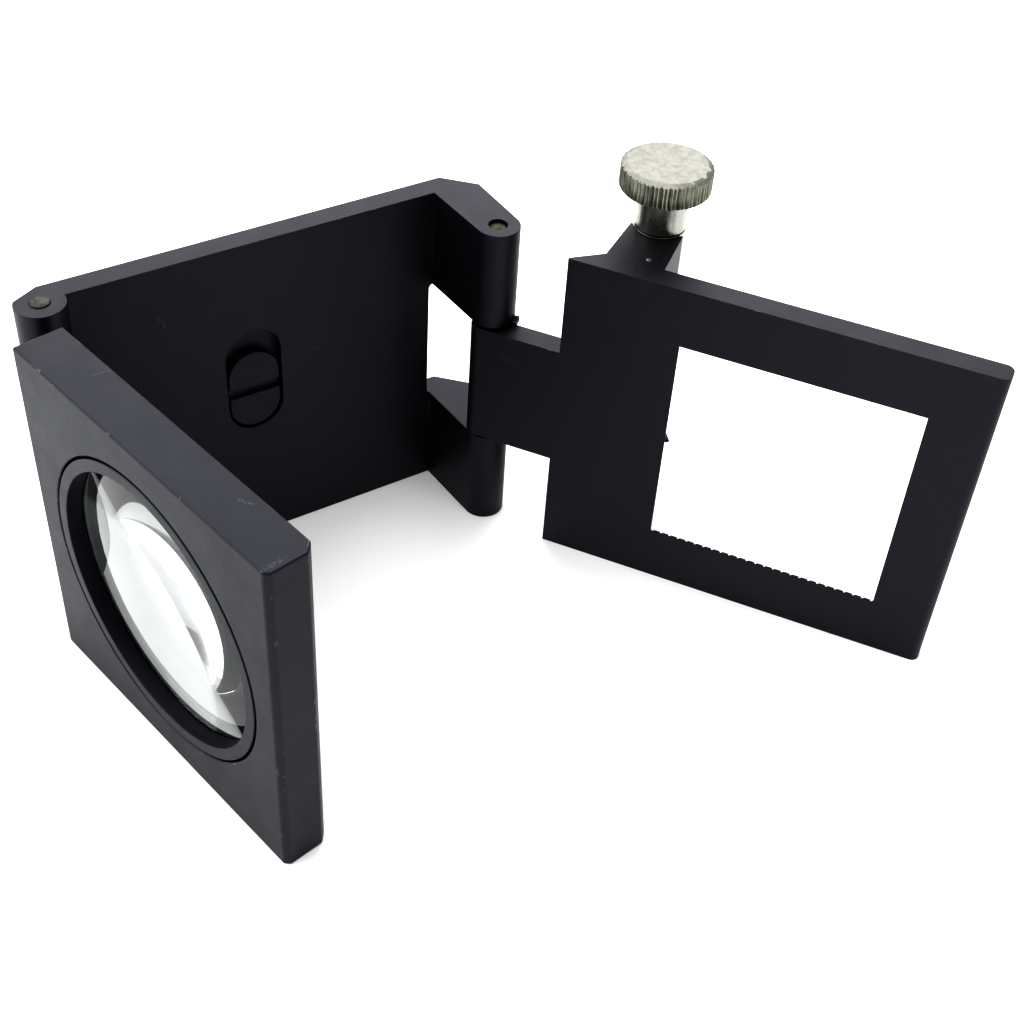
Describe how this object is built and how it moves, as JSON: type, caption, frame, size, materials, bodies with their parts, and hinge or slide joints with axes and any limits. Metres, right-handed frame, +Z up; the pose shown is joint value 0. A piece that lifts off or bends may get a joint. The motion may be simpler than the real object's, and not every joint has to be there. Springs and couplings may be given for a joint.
{
  "type": "folding loupe",
  "caption": "Folding metal loupe: a lens leaf and a square ruled window leaf hinged to a back plate, with a knurled screw that moves an index along the window.",
  "frame": {"origin": "middle of the back plate's lower side edge, which is the face the loupe stands on", "axes": "+X along the back plate from the lens leaf's pin to the arms, +Y out of the back plate's outer face, +Z up along both hinge pins"},
  "size_m": [0.08, 0.0552, 0.046],
  "materials": {
    "black_anodised": "black anodised, satin",
    "nickel_plate": "bright nickel plate",
    "steel": "plain steel",
    "brass": "plain, dull",
    "glass": "polished"
  },
  "bodies": {
    "back_plate": {"back_plate": "black_anodised", "lens_hinge_pin": "steel", "base_hinge_pin": "brass", "lens_washer_upper": "steel", "lens_washer_lower": "steel", "base_washer_upper": "steel", "base_washer_lower": "steel"},
    "lens_leaf": {"lens_panel": "black_anodised", "glass_lens": "glass", "retaining_ring": "black_anodised"},
    "base_leaf": {"base_frame": "black_anodised", "lug_dowel": "steel", "guide_tube": "nickel_plate", "tube_end_plug": "brass", "tube_bush": "brass", "thrust_washer": "steel"},
    "screw": {"knob": "nickel_plate", "index_screw": "steel", "knob_pin": "steel"},
    "index": {"index_nut": "brass", "index_pointer": "steel"},
    "catch": {"slide_catch": "black_anodised", "catch_retainer": "black_anodised", "catch_rivet": "steel"}
  },
  "joints": [
    {"name": "lens_hinge", "type": "hinge", "parent": "back_plate", "child": "lens_leaf", "pos_m": [-0.0226, -0.0014, 0.01935], "axis": [0, 0, 1], "range_deg": [-191, 79]},
    {"name": "base_hinge", "type": "hinge", "parent": "back_plate", "child": "base_leaf", "pos_m": [0.02275, -0.00955, 0.01935], "axis": [0, 0, 1], "range_deg": [-77, 145]},
    {"name": "knob_turn", "type": "hinge", "parent": "base_leaf", "child": "screw", "pos_m": [0.0376, -0.01734, 0.04], "axis": [0, 0, 1], "range_deg": [-4572, 4572]},
    {"name": "index_travel", "type": "slide", "parent": "base_leaf", "child": "index", "axis": [0, 0, 1], "range_m": [-0.0127, 0.0127]},
    {"name": "catch_slide", "type": "slide", "parent": "back_plate", "child": "catch", "axis": [0, 0, 1], "range_m": [0, 0.0027]}
  ],
  "couplings": [
    {"joint": "knob_turn", "follows": "index_travel", "rad_per_m": 6283.2}
  ]
}
